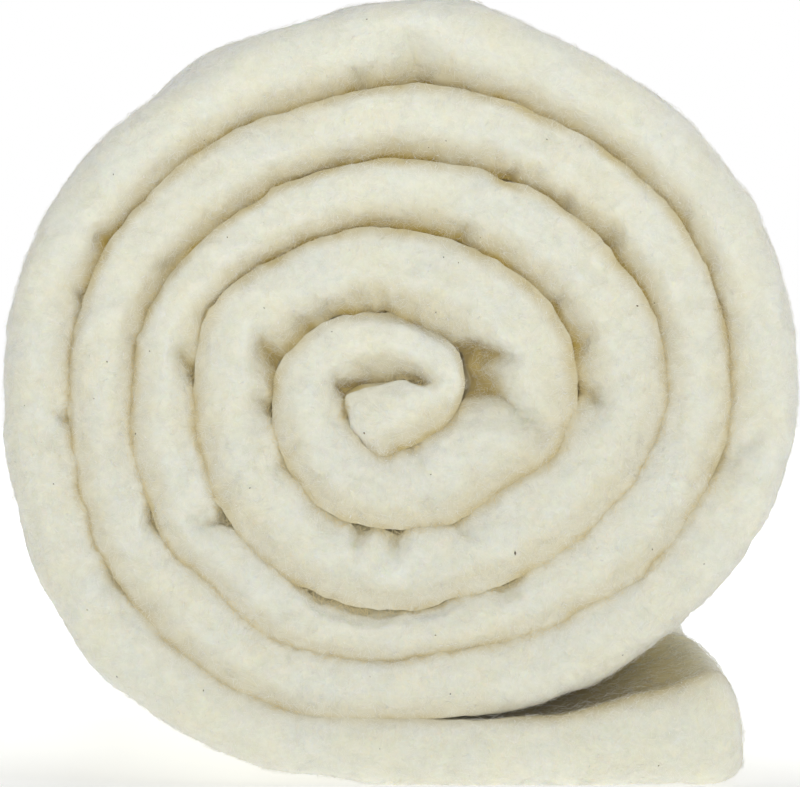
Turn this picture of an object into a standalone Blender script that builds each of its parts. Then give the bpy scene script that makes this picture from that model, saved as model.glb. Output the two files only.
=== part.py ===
"""A roll of quilt batting: one thick, soft sheet of cotton wound up from its inner end.

The sheet is one solid. Its section runs along a spiral, seen from the front as it is wound:
it starts with a tight fold at the core, goes round five times and a quarter, and ends in a
tail that lies on the floor under the roll and puffs up at its free end. The two edges of the
sheet, which make the front and the back of the roll, are rounded like the edge of a pillow.

Frame: +X to the right, +Y from the front of the roll to its back, +Z up, in metres. The origin
is at the middle of the base. Angles are in degrees, counter-clockwise as seen from the front.
"""

import math

import bpy
import numpy as np

# Driving dimensions of the real roll.
ROLL_LENGTH = 0.5715  # half of a 45 inch width, which lies along Y
ROLL_WIDTH = 0.1764  # across the roll from the left wrap to the right one
CENTRE_HEIGHT = 0.0845  # the middle of the spiral above the floor
SEAM_GAP = 0.0007  # between one wrap and the next
EDGE_ROUND = 0.0065  # how far the rounded edges of the sheet reach along Y
TAIL_ROUND = 0.0090  # rounding of the sheet's free end, on the floor
CORE_ROUND = 0.0025  # rounding of the sheet's other end, in the core
TAIL_PIVOT = 0.80  # share of the thickness that the free end closes in on, 1 being the floor
CORE_PIVOT = 0.50

# The tables' lengths are in these units, for a roll of the width above.
TABLE_UNIT = ROLL_WIDTH / 176.4

# The tail on the floor: it lies squeezed under the roll and puffs up towards its free end.
TAIL_COLUMNS = ("right of the spiral's middle", "thickness")
TAIL = (
    (0.0, 14.7),
    (32.0, 15.0),
    (44.0, 17.2),
    (58.0, 21.0),
    (66.0, 23.8),
    (72.0, 26.0),
    (77.5, 27.0),
)
TAIL_SETTLES = 0.015  # the tail's thickness follows its own table from here to the right

# Radii of the seam, which is the outer face of each wrap, one row for each wrap from the core out.
# The columns are directions from the spiral's middle, starting at the top and going left.
SEAM_DIRECTIONS = ("up", 120, 150, "left", 210, 240, "down", 300, 330, "right", 30, 60)
SEAM_RADII = (
    (5.0, 5.2, 6.6, 9.9, 11.0, 11.4, 12.6, 10.6, 11.7, 14.7, 17.5, 18.2),
    (19.2, 21.6, 24.7, 26.1, 27.0, 27.7, 28.2, 29.6, 34.0, 40.5, 40.7, 38.0),
    (37.9, 39.5, 44.6, 43.8, 44.0, 45.0, 45.5, 46.6, 52.6, 60.0, 58.8, 55.3),
    (52.8, 53.5, 56.2, 57.2, 58.6, 57.3, 57.1, 60.0, 68.2, 74.6, 74.5, 71.3),
    (69.4, 68.9, 71.4, 71.3, 71.8, 71.8, 69.8, 74.8, 83.2, 89.5, 90.8, 88.6),
    (87.8, 85.2, 87.0, 86.1, 86.4, 86.2, 85.4, 97.6, 168.0),
)
STEP_DEG = 360 / len(SEAM_DIRECTIONS)
WOUND_FROM_DEG = 360  # the first wrap that goes round the folded core
WOUND_TO_DEG = 1980  # straight down, where the tail begins

# The fold at the core. Its outer face lies against the first wrap, and the table has its inner face.
CORE_INNER = (
    # turned: degrees from the top of the core, then right of and above the spiral's middle
    (140, -9.6, -2.4),  # the sheet's cut end
    (160, -9.3, -0.2),
    (180, -8.2, 1.4),
    (205, -5.4, 2.3),
    (230, -1.5, 3.9),
    (250, 3.0, 4.5),
    (268, 6.8, 3.9),
    (284, 7.6, 4.5),  # the turn of the fold
    (300, 6.2, 5.5),
    (318, 3.6, 5.6),
    (340, 1.4, 5.4),
)

# How far each wrap stands in front of the ends' plane, one value for each wrap.
WRAP_FORWARD = (-1.6, 0.4, -0.8, 0.6, -0.5, 0.0, 0.0)

# Creases and pockets in the inner side of a wrap, where the sheet buckled as it was wound.
CREASE_COLUMNS = ("turned", "half_width", "notch", "valley", "reach", "slant")
CREASES = (
    # turned: degrees wound before the crease, on the wrap's outer face
    # half_width, notch out of the inner face and valley in the rounded edge: table units
    # reach: the share of the sheet's thickness that the valley crosses
    # slant: degrees that the valley leans across the whole thickness
    (642, 3.2, 2.5, 8.0, 0.78, -32),
    (654, 5.5, 1.8, 2.0, 0.30, 0),
    (665, 2.8, 2.6, 7.0, 0.45, -32),
    (792, 3.0, 2.6, 5.5, 0.60, -24),
    (812, 2.4, 2.0, 3.5, 0.35, -12),
    (886, 2.3, 2.2, 3.0, 0.30, 0),
    (901, 2.6, 2.6, 3.5, 0.30, 0),
    (993, 2.8, 1.8, 4.5, 0.40, -14),
    (1008, 4.5, 1.5, 3.0, 0.40, 5),
    (1161, 3.0, 1.5, 4.5, 0.55, -14),
    (1204, 3.0, 2.8, 4.5, 0.60, -5),
    (1250, 11.0, 2.6, 2.0, 0.30, 0),
    (1292, 3.8, 2.2, 2.5, 0.30, 0),
    (1387, 3.2, 1.9, 3.0, 0.35, 0),
    (1498, 3.0, 1.0, 1.8, 0.25, 0),
    (1556, 3.0, 1.3, 1.8, 0.25, 0),
    (1700, 4.0, 0.8, 2.2, 0.50, 5),
    (1796, 5.0, 1.2, 3.0, 0.70, 4),
    (1860, 2.6, 1.8, 2.6, 0.30, 8),
)
CREASE_RUN = 0.09  # a crease fades out this far behind the front edge

# The hand-wound roll isn't a true cylinder: its radius swells and shrinks along its length.
SWELL = 0.0016
SWELL_PITCH = 0.21
SWELL_STARTS = 0.16  # the front end keeps its outline, and the swelling grows over this length

# How finely the shape is divided.
FINE_SAMPLES = 6000
CORE_STATION = 0.0046  # length of a step along the sheet at the core
RIM_STATION = 0.0112  # and on the outermost wrap
CREASE_STATIONS = 1.6  # extra steps in each crease
END_SHARES = (0.30, 0.62, 0.85, 0.96)  # of the thickness, where a cut end is rounded
EDGE_STEPS = 4
FACE_ROWS = (-0.5, 0.0, 0.5)  # rows of points across the sheet's faces, as shares of half its length


def ease(value, start, end):
    """Goes smoothly from 0 at start to 1 at end."""
    share = np.clip((value - start) / (end - start), 0.0, 1.0)
    return share * share * (3.0 - 2.0 * share)


def through_table(values, position):
    """A smooth curve through a table's values (Catmull-Rom), read at positions counted in entries."""
    values = np.asarray(values, float)
    last = len(values) - 1
    position = np.clip(position, 0.0, last - 1e-9)
    before = np.floor(position).astype(int)
    t = position - before
    if values.ndim > 1:
        t = t[:, None]
    p0 = values[np.maximum(before - 1, 0)]
    p1 = values[before]
    p2 = values[before + 1]
    p3 = values[np.minimum(before + 2, last)]
    slope_1 = (p2 - p0) / 2.0
    slope_2 = (p3 - p1) / 2.0
    return (
        p1 * (1.0 + t * t * (2.0 * t - 3.0))
        + slope_1 * t * (1.0 - t) ** 2
        + p2 * t * t * (3.0 - 2.0 * t)
        - slope_2 * t * t * (1.0 - t)
    )


def seam_radius(turned):
    """Radius of the seam after the sheet has turned this many degrees from the top of the core."""
    radii = np.concatenate([np.array(row) for row in SEAM_RADII])
    return through_table(radii, turned / STEP_DEG) * TABLE_UNIT


def at_direction(turned, radius):
    """Points (x, z) at these radii, with the direction counted from straight up."""
    angle = np.radians(turned + 90.0)
    height = np.maximum(radius * np.sin(angle), -CENTRE_HEIGHT)
    return np.stack([radius * np.cos(angle), height], axis=1)


def core_faces(samples):
    """The fold at the core: the inner and the outer face of the sheet, and the degrees turned."""
    table = np.array(CORE_INNER, float)
    table[:, 1:] *= TABLE_UNIT
    table = np.vstack([table, (WOUND_FROM_DEG, 0.0, seam_radius(0.0) + SEAM_GAP / 2)])
    position = np.linspace(0.0, len(table) - 1, samples, endpoint=False)
    columns = through_table(table, position)
    turned = columns[:, 0]
    outer = at_direction(turned, seam_radius(turned) - SEAM_GAP / 2)
    return columns[:, 1:], outer, turned


def wound_faces(samples):
    """The wound wraps: each lies on the wrap before it, so two wraps share one seam and its gap."""
    turned = np.linspace(WOUND_FROM_DEG, WOUND_TO_DEG, samples, endpoint=False)
    inner = at_direction(turned, seam_radius(turned - 360.0) + SEAM_GAP / 2)
    outer = at_direction(turned, seam_radius(turned) - SEAM_GAP / 2)
    return inner, outer, turned


def tail_faces(samples):
    """The tail: its outer face lies on the floor, and its inner face is a thickness above."""
    row = np.linspace(0.0, len(TAIL) - 1, samples)
    right, thickness = through_table(TAIL, row).T * TABLE_UNIT
    at_start = CENTRE_HEIGHT - seam_radius(float(WOUND_TO_DEG - 360)) - SEAM_GAP / 2
    thickness += (at_start - thickness[0]) * (1.0 - ease(right, 0.0, TAIL_SETTLES))
    floor = np.full(samples, -CENTRE_HEIGHT)
    inner = np.stack([right, floor + thickness], axis=1)
    outer = np.stack([right, floor], axis=1)
    turned = WOUND_TO_DEG + np.degrees(np.arctan2(right, CENTRE_HEIGHT))
    return inner, outer, turned


def whole_sheet():
    """Inner face, outer face and degrees turned, finely sampled from the core to the tail's end."""
    parts = [core_faces(FINE_SAMPLES // 10), wound_faces(FINE_SAMPLES), tail_faces(FINE_SAMPLES // 10)]
    inner, outer, turned = (np.concatenate([part[k] for part in parts]) for k in range(3))
    return inner, outer, turned


def lengths_along(points):
    """Distance of each point from the first, along the line through them."""
    steps = np.linalg.norm(np.diff(points, axis=0), axis=1)
    return np.concatenate([[0.0], np.cumsum(steps)])


def stations_along(along, radius, turned):
    """Where the sections are: closer together at the core, in creases and at the cut ends.

    Gives their lengths along the sheet, the share of the full thickness that each one has, and
    the share that it closes in on. The cut ends are rounded as superellipses.
    """
    growth = np.clip(radius / (ROLL_WIDTH / 2), 0.0, 1.0)
    density = 1.0 / (CORE_STATION + (RIM_STATION - CORE_STATION) * growth)
    for crease in CREASES:
        row = dict(zip(CREASE_COLUMNS, crease))
        half_width = row["half_width"] * TABLE_UNIT
        away = np.radians(turned - row["turned"]) * radius / half_width
        density += CREASE_STATIONS / (half_width * math.sqrt(math.pi)) * np.exp(-away * away)
    counted = np.concatenate([[0.0], np.cumsum((density[1:] + density[:-1]) / 2 * np.diff(along))])
    closing = np.array(END_SHARES)
    from_core = CORE_ROUND * (1.0 - (1.0 - closing**4.0) ** (1 / 4.0))
    from_tail = TAIL_ROUND * (1.0 - (1.0 - closing**2.5) ** (1 / 2.5))
    span = np.interp([along[0] + CORE_ROUND, along[-1] - TAIL_ROUND], along, counted)
    steps = int(round(span[1] - span[0]))
    between = np.interp(np.linspace(span[0], span[1], steps + 1), counted, along)
    stations = np.concatenate([along[0] + from_core, between, along[-1] - from_tail[::-1]])
    shares = np.concatenate([closing, np.ones(len(between)), closing[::-1]])
    pivots = np.where(stations < along[-1] / 2, CORE_PIVOT, TAIL_PIVOT)
    return stations, shares, pivots


def edge_profile(turned):
    """The rounded edge: share of the thickness from inner to outer face, and depth from the tip.

    The edge is fuller on the tail's top than elsewhere, so its superellipse has a higher power.
    """
    angle = np.linspace(-math.pi / 2, math.pi / 2, EDGE_STEPS + 1)
    from_middle = np.sign(np.sin(angle)) * np.abs(np.sin(angle)) ** 0.8
    on_tail = ease(turned, WOUND_TO_DEG + 4.0, WOUND_TO_DEG + 24.0)[:, None]
    power = np.where(from_middle < 0.0, 2.2 + 1.8 * on_tail, 2.2)
    depth = EDGE_ROUND * (1.0 - (1.0 - np.abs(from_middle) ** power) ** (1.0 / power))
    return 0.5 + 0.5 * from_middle, depth


def creased(across, depth, turned, inner_radius, thickness):
    """Moves the front edge of each section into the creases that it crosses."""
    notch = np.zeros_like(across)
    valley = np.zeros_like(across)
    local_radius = inner_radius + across * thickness
    for crease in CREASES:
        row = dict(zip(CREASE_COLUMNS, crease))
        half_width = row["half_width"] * TABLE_UNIT
        at_face = np.radians(turned - row["turned"]) * inner_radius / half_width
        leaning = np.radians(turned - row["turned"] - row["slant"] * across) * local_radius / half_width
        notch += row["notch"] * TABLE_UNIT / thickness * np.exp(-at_face**2) * (1.0 - across) ** 2
        faded = 1.0 - ease(across, 0.35 * row["reach"], row["reach"])
        valley += row["valley"] * TABLE_UNIT * np.exp(-(leaning**2)) * faded
    return across + notch, depth + valley


def section_points(inner, outer, turned, share, pivot):
    """Rings of points round each section, as (sections, points, 3), front edge first."""
    centre_radius = np.linalg.norm((inner + outer) / 2, axis=1)
    thickness = np.linalg.norm(outer - inner, axis=1)
    inner_radius = np.maximum(centre_radius - thickness / 2, 0.004)
    sections = len(inner)

    across, depth = edge_profile(turned)
    grid = np.ones((sections, 1))
    front_across, front_depth = creased(
        across * grid,
        depth,
        turned[:, None],
        inner_radius[:, None],
        thickness[:, None],
    )
    rows = np.array(FACE_ROWS)
    half = ROLL_LENGTH / 2
    flat_half = half - EDGE_ROUND
    crease_kept = np.exp(-(((rows + 1.0) * flat_half / CREASE_RUN) ** 2))
    inner_notch = front_across[:, :1] * crease_kept

    forward = through_table(WRAP_FORWARD, np.clip(turned / 360.0, 0, len(WRAP_FORWARD) - 1)) * TABLE_UNIT
    y_front = -half - forward[:, None] + front_depth
    y_back = half + forward[:, None] - depth
    y_face = rows * flat_half * grid

    ring_across = np.hstack([front_across, np.ones_like(y_face), (across * grid)[:, ::-1], inner_notch[:, ::-1]])
    ring_y = np.hstack([y_front, y_face, y_back[:, ::-1], y_face[:, ::-1]])
    ring_across = pivot[:, None] + (ring_across - pivot[:, None]) * share[:, None]
    tip = (1.0 - share)[:, None] * EDGE_ROUND / 2
    ring_y = ring_y - np.sign(ring_y) * tip * np.abs(ring_y) / half
    plane = inner[:, None, :] + ring_across[..., None] * (outer - inner)[:, None, :]
    return np.stack([plane[..., 0], ring_y, plane[..., 1]], axis=2)


def swollen(points):
    """The uneven roll: radii swell along its length, but not at the front end or on the floor."""
    x, y, z = points[..., 0], points[..., 1], points[..., 2]
    from_front = y + ROLL_LENGTH / 2
    grown = ease(from_front, 0.0, SWELL_STARTS)
    off_floor = ease(z, -CENTRE_HEIGHT, -CENTRE_HEIGHT * 0.35)
    angle = np.arctan2(z, x)
    wave = np.sin(2 * math.pi * from_front / SWELL_PITCH + 2.0 * angle) + 0.6 * np.sin(
        2 * math.pi * from_front / (1.7 * SWELL_PITCH) - 3.0 * angle + 1.0
    )
    scale = 1.0 + SWELL / (ROLL_WIDTH / 2) * wave * grown * off_floor
    return np.stack([x * scale, y, z * scale], axis=2)


def sheet_faces(sections, around):
    """Quads between neighbouring rings, and strips of quads that close the two cut ends."""
    ring = np.arange(around)
    following = np.roll(ring, -1)
    start = (np.arange(sections - 1) * around)[:, None]
    quads = np.stack(
        [start + ring, start + following, start + around + following, start + around + ring], axis=2
    ).reshape(-1, 4)
    faces = [tuple(int(i) for i in quad) for quad in quads]
    for section, facing_out in ((0, False), (sections - 1, True)):
        faces += end_cap(section * around, around, facing_out)
    return faces


def end_cap(first, around, facing_out):
    """Closes a cut end: each point of the inner half of the ring faces its twin on the outer half."""
    front_middle = EDGE_STEPS // 2
    pairs = [
        (first + (front_middle - k) % around, first + (front_middle + k) % around)
        for k in range(around // 2 + 1)
    ]
    faces = []
    for (a, b), (c, d) in zip(pairs, pairs[1:]):
        corners = [a, b, d, c]
        corners = [v for i, v in enumerate(corners) if v not in corners[:i]]
        faces.append(tuple(corners if facing_out else corners[::-1]))
    return faces


def batting_material():
    """Unbleached cotton, matt and slightly cream."""
    material = bpy.data.materials.new("unbleached_cotton_batting")
    material.use_nodes = True
    shader = material.node_tree.nodes["Principled BSDF"]
    shader.inputs["Base Color"].default_value = (0.81, 0.78, 0.67, 1.0)
    shader.inputs["Roughness"].default_value = 0.95
    shader.inputs["Metallic"].default_value = 0.0
    return material


def wound_batting():
    """The rolled sheet, as one closed mesh standing on the floor at its middle."""
    inner, outer, turned = whole_sheet()
    middle = (inner + outer) / 2
    along = lengths_along(middle)
    stations, shares, pivots = stations_along(along, np.linalg.norm(middle, axis=1), turned)

    def at_stations(values):
        return np.interp(stations, along, values)

    inner = np.stack([at_stations(inner[:, 0]), at_stations(inner[:, 1])], axis=1)
    outer = np.stack([at_stations(outer[:, 0]), at_stations(outer[:, 1])], axis=1)
    turned = at_stations(turned)
    points = swollen(section_points(inner, outer, turned, shares, pivots))
    sections, around = points.shape[:2]
    points = points.reshape(-1, 3)
    points[:, 2] = np.maximum(points[:, 2] + CENTRE_HEIGHT, 0.0)
    middle_of_box = (points.min(axis=0) + points.max(axis=0)) / 2
    points[:, :2] -= middle_of_box[:2]
    print(f"the spiral's middle is at x {-middle_of_box[0] * 1000:.2f} mm")

    mesh = bpy.data.meshes.new("batting")
    mesh.from_pydata(points.tolist(), [], sheet_faces(sections, around))
    mesh.validate()
    mesh.materials.append(batting_material())
    mesh.shade_smooth()
    print(f"sheet wound from {along[-1]:.3f} m, {sections} sections of {around} points")
    return bpy.data.objects.new("batting", mesh)


def main():
    for old in list(bpy.data.objects):
        bpy.data.objects.remove(old)
    bpy.context.scene.collection.objects.link(wound_batting())


main()
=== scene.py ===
# %% [markdown]
# # A roll of quilt batting
# Batting is the soft filling of a quilt: a thick sheet of cotton fibres, needled so that they
# hold together. This one is natural cotton, wound up by hand into a loose roll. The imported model
# already has the roll as one plain solid, and this lesson replaces it with a finely divided sheet
# on the same spiral, with its creases, its fuzz of loose fibres and its flecks of seed husk.

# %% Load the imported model
import math

import bpy
import numpy as np
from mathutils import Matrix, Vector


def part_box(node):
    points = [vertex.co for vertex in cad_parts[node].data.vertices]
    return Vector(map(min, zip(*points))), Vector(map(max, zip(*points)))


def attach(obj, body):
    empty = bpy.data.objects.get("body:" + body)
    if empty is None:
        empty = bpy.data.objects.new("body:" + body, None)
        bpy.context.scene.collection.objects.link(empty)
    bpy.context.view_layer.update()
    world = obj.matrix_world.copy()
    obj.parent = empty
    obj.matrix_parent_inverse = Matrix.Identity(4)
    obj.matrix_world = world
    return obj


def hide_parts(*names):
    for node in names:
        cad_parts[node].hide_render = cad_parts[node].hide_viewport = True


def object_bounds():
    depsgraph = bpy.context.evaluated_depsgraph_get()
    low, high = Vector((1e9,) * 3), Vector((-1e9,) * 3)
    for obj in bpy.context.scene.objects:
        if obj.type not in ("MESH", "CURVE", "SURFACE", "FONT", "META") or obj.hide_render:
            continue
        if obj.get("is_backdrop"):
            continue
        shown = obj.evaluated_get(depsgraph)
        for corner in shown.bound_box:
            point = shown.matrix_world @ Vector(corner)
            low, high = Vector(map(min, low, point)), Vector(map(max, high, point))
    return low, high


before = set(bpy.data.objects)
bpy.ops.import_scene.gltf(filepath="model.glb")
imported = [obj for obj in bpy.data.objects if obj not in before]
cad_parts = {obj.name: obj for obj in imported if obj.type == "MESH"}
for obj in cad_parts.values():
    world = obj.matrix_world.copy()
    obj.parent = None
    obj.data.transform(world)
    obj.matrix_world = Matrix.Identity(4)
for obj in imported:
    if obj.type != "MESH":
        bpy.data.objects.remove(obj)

packed_box = [list(corner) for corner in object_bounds()]
node_low, node_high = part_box("batting")
print("packed model from", [round(v, 4) for v in node_low], "to", [round(v, 4) for v in node_high])

# %% [markdown]
# ## The spiral
# Seen from the front, the roll is one line that winds outward counter-clockwise. In polar form a
# wound sheet is just a radius that grows with the angle turned. A hand-wound roll isn't an exact
# spiral: it sags, and it is wider to the right. So the radius comes from a table, one row for
# each wrap and one column for every 30 degrees, with a smooth curve through it. Two neighbouring
# wraps share one seam, so the outer face of a wrap and the inner face of the next one use the
# same numbers, a turn apart, and always stay together.

# %% Sizes of the roll, in metres, and the seam's radii
ROLL_LENGTH = 0.5715
HALF = ROLL_LENGTH / 2
TABLE_UNIT = 0.001
SPIRAL_X, CENTRE_HEIGHT = -0.00174, 0.0845
# Below zero, because two wraps sink into each other, so that a seam is a soft groove and not a
# dark slit. On the outermost wrap this ends, because its outer face touches nothing.
SEAM_GAP = -0.0006
SEAM_ENDS_DEG = (1590.0, 1640.0)
EDGE_ROUND = 0.0065
# Depth of a seam below the tips of its two wraps: on the side that faces down, at the roll's
# bottom and at its top, and on the side that faces up. The roll's weight presses the wraps
# together at the bottom.
LOW_VALLEY, HIGH_VALLEY, UP_CREST = 0.0015, 0.0048, 0.0009
END_ROUND = 0.0090
# The tail, as distance to the right and thickness, in mm: it lies squeezed under the roll and
# puffs up towards its free end.
TAIL = ((0, 14.7), (32, 15.0), (44, 17.2), (58, 21.0), (66, 23.8), (72, 26.0), (77.5, 27.0))
TAIL_JOINS_OVER = 0.015

# The columns are directions, counter-clockwise in steps of 30 degrees: straight up comes first,
# left is fourth, straight down seventh and right tenth.
SEAM_RADII = (
    (6.1, 6.1, 6.3, 9.7, 11.0, 11.4, 12.6, 10.6, 11.7, 14.7, 17.5, 18.2),
    (19.2, 21.6, 24.7, 26.1, 27.0, 27.7, 28.2, 29.6, 34.0, 40.5, 40.7, 38.0),
    (37.9, 39.5, 44.6, 43.8, 44.0, 45.0, 45.5, 46.6, 52.6, 60.0, 58.8, 55.3),
    (52.8, 53.5, 56.2, 57.2, 58.6, 57.3, 57.1, 60.0, 68.2, 74.6, 74.5, 71.3),
    (69.4, 68.9, 71.4, 71.3, 71.8, 71.8, 69.8, 74.8, 83.2, 89.5, 90.8, 88.6),
    (87.8, 85.2, 87.0, 86.1, 86.4, 86.2, 85.4, 97.6, 168.0),
)
STEP_DEG = 30
# The core's fold takes the first turn, the wound part the next four and a half, and the tail the
# rest.
TURN_DEG = 360.0
WOUND_FROM_DEG, WOUND_TO_DEG = 360, 1980
LINE_SAMPLES = 12000

# Dents and swellings between the table's entries: degrees turned, half width in degrees, amount.
SEAM_DENTS = (
    (75, 9, 0.7), (190, 10, -1.0), (285, 8, 0.4), (590, 9, -1.0), (612, 9, 1.2), (640, 8, -0.6),
    (735, 8, 0.5), (920, 9, -0.6), (1010, 8, 0.5), (1125, 12, -0.7), (1150, 8, 0.5),
    (1190, 8, -0.6), (1215, 9, -2.0), (1240, 8, 1.0), (1275, 12, -1.4), (1300, 8, -0.9),
    (1455, 10, -1.5), (1490, 7, -0.6), (1605, 8, 0.9), (1630, 7, -0.5), (1670, 8, -0.8),
    (1695, 8, 1.2), (1790, 9, 0.9), (1812, 9, -0.8), (1840, 7, -0.5), (1870, 7, 0.6),
    (1930, 8, 1.2), (1970, 7, -0.9),
)

# The fold at the core: degrees turned, then a point of its inner face right of and above the
# spiral's middle.
CORE_INNER = (
    (140, -9.8, -2.8),
    (160, -9.8, -0.9),
    (180, -8.8, 0.9),
    (205, -5.8, 2.0),
    (230, -1.6, 3.1),
    (250, 2.8, 4.1),
    (268, 6.6, 3.7),
    (284, 7.9, 4.2),
    (300, 6.8, 5.2),
    (318, 4.2, 5.9),
    (340, 1.6, 6.1),
)


def ease(value, start, end):
    """Smooth step: 3t^2 - 2t^3, where t goes from 0 at start to 1 at end."""
    share = np.clip((value - start) / (end - start), 0.0, 1.0)
    return share * share * (3.0 - 2.0 * share)


def unit(v):
    """Each vector divided by its own length."""
    return v / np.maximum(np.linalg.norm(v, axis=-1, keepdims=True), 1e-12)


def through_table(values, position):
    """Catmull-Rom curve: a cubic between two entries, whose slope at each entry is half the
    difference of its two neighbours."""
    values = np.asarray(values, float)
    last = len(values) - 1
    position = np.clip(position, 0.0, last - 1e-9)
    before = np.floor(position).astype(int)
    t = position - before
    if values.ndim > 1:
        t = t[:, None]
    p0, p1 = values[np.maximum(before - 1, 0)], values[before]
    p2, p3 = values[before + 1], values[np.minimum(before + 2, last)]
    start = p1 * (1.0 + t * t * (2.0 * t - 3.0)) + (p2 - p0) / 2.0 * t * (1.0 - t) ** 2
    return start + p2 * t * t * (3.0 - 2.0 * t) - (p3 - p1) / 2.0 * t * t * (1.0 - t)


def seam_radius(turned):
    """The table's curve plus every dent, each a bell curve: amount * exp(-(distance/width)^2)."""
    turned = np.asarray(turned, float)
    radius = through_table(np.concatenate([np.array(row) for row in SEAM_RADII]), turned / STEP_DEG)
    middle, width, amount = np.array(SEAM_DENTS).T[:, :, None]
    dents = (amount * np.exp(-(((turned.ravel() - middle) / width) ** 2))).sum(axis=0)
    return (radius + dents.reshape(turned.shape)) * TABLE_UNIT


def at_direction(turned, radius):
    """Polar to plane: x = r cos a, z = r sin a, with a counted from straight up. Nothing goes below
    the floor."""
    angle = np.radians(turned + 90.0)
    height = np.maximum(radius * np.sin(angle), -CENTRE_HEIGHT)
    return np.stack([radius * np.cos(angle), height], axis=1)


def sheet_line(samples):
    """The sheet seen from the front, as its inner face, its outer face and the degrees turned: the
    core's fold, the wound wraps and the tail on the floor."""
    table = np.array(CORE_INNER, float)
    table[:, 1:] *= TABLE_UNIT
    table = np.vstack([table, (WOUND_FROM_DEG, 0.0, float(seam_radius(0.0)) + SEAM_GAP / 2)])
    core = through_table(table, np.linspace(0.0, len(table) - 1, samples // 10, endpoint=False))
    core_outer = at_direction(core[:, 0], seam_radius(core[:, 0]) - SEAM_GAP / 2)

    turned = np.linspace(WOUND_FROM_DEG, WOUND_TO_DEG, samples, endpoint=False)
    wound_inner = at_direction(turned, seam_radius(turned - TURN_DEG) + SEAM_GAP / 2)
    covered = 1.0 - ease(turned, *SEAM_ENDS_DEG)
    wound_outer = at_direction(turned, seam_radius(turned) - covered * SEAM_GAP / 2)

    row = np.linspace(0.0, len(TAIL) - 1, samples // 10)
    right, thickness = through_table(TAIL, row).T * TABLE_UNIT
    at_start = CENTRE_HEIGHT - float(seam_radius(WOUND_TO_DEG - TURN_DEG)) - SEAM_GAP / 2
    thickness += (at_start - thickness[0]) * (1.0 - ease(right, 0.0, TAIL_JOINS_OVER))
    floor = np.full(len(right), -CENTRE_HEIGHT)
    tail_inner = np.stack([right, floor + thickness], axis=1)
    tail_outer = np.stack([right, floor], axis=1)
    tail_turned = WOUND_TO_DEG + np.degrees(np.arctan2(right, CENTRE_HEIGHT))

    inner = np.vstack([core[:, 1:], wound_inner, tail_inner])
    outer = np.vstack([core_outer, wound_outer, tail_outer])
    return inner, outer, np.concatenate([core[:, 0], turned, tail_turned])


line_inner, line_outer, line_turned = sheet_line(LINE_SAMPLES)
line_middle = (line_inner + line_outer) / 2
steps = np.linalg.norm(np.diff(line_middle, axis=0), axis=1)
line_along = np.concatenate([[0.0], np.cumsum(steps)])
print(f"the sheet is {line_along[-1]:.3f} m long from its core to the end of its tail")

# %% [markdown]
# ## Creases
# A thick sheet can't be bent tightly without buckling. Its inner side is too long for the bend,
# so it folds into short creases that run outward from the seam, and small pockets open under
# them. Each crease is one row of a table: where it is, how wide, how far it cuts into the inner
# face (notch), how far it sinks into the rounded edge (valley), how far across the thickness it
# reaches, and how much it leans. They could be sculpted by hand, but a table can be corrected
# one number at a time.

# %% The table of creases
CREASES = (
    # degrees turned, half width in mm, notch in mm, valley in mm, reach, slant in degrees
    (398, 6.0, 0.0, 3.0, 0.70, 0),
    (430, 2.2, 2.2, 2.2, 0.35, -10),
    (441, 1.8, 0.4, 3.4, 0.62, -50),
    (468, 2.4, 0.6, 1.4, 0.40, 4),
    (565, 2.0, 1.0, 2.0, 0.40, 0),
    (642, 3.4, 2.6, 9.2, 0.90, -32),
    (652, 4.5, 0.9, 2.4, 0.40, -20),
    (665, 2.4, 2.4, 8.0, 0.60, -32),
    (718, 10.0, 0.0, -0.9, 0.90, 0),
    (724, 1.6, 1.2, 1.8, 0.30, 0),
    (735, 2.4, 1.0, 1.6, 0.30, 0),
    (754, 2.2, 1.0, 2.0, 0.35, 0),
    (768, 2.0, 1.0, 2.0, 0.35, 0),
    (792, 2.6, 2.6, 6.0, 0.65, -24),
    (812, 2.2, 2.0, 3.8, 0.40, -12),
    (840, 3.0, 1.0, 1.6, 0.30, 0),
    (870, 3.6, 1.2, 1.8, 0.30, 0),
    (886, 2.1, 2.2, 3.2, 0.35, 0),
    (901, 2.4, 2.6, 3.8, 0.35, 0),
    (929, 2.0, 1.4, 2.4, 0.30, 0),
    (993, 2.6, 1.8, 4.8, 0.45, -14),
    (1008, 4.5, 1.5, 3.0, 0.40, 5),
    (1021, 2.0, 1.0, 1.8, 0.30, 0),
    (1057, 2.2, 1.2, 2.4, 0.35, 0),
    (1078, 14.0, 0.0, 2.4, 0.80, 0),
    (1161, 2.8, 1.5, 4.8, 0.60, -14),
    (1204, 2.8, 2.8, 4.8, 0.65, -5),
    (1238, 4.5, 1.9, 1.6, 0.30, 0),
    (1253, 9.0, 3.4, 1.8, 0.30, 0),
    (1274, 5.0, 1.0, 1.2, 0.30, 0),
    (1292, 3.4, 2.3, 2.8, 0.35, 0),
    (1387, 3.0, 1.9, 3.2, 0.40, 0),
    (1399, 1.8, 0.9, 1.8, 0.30, 0),
    (1412, 1.8, 0.9, 1.8, 0.30, 0),
    (1437, 14.0, 0.0, 1.4, 0.80, 0),
    (1498, 2.6, 1.0, 2.0, 0.30, 0),
    (1556, 2.8, 1.6, 2.4, 0.30, 0),
    (1700, 5.5, 0.9, 3.2, 0.80, 6),
    (1795, 4.8, 1.3, 4.4, 0.85, 4),
    (1798, 18.0, 0.0, 2.6, 0.85, 0),
    (1805, 2.2, 0.9, 2.2, 0.45, 6),
    (1860, 2.4, 1.9, 1.9, 0.30, 8),
    (1871, 2.0, 1.0, 1.8, 0.30, 0),
    (1893, 2.2, 1.0, 1.8, 0.30, 0),
    (1923, 4.6, 1.3, 2.0, 0.35, 0),
)
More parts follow.
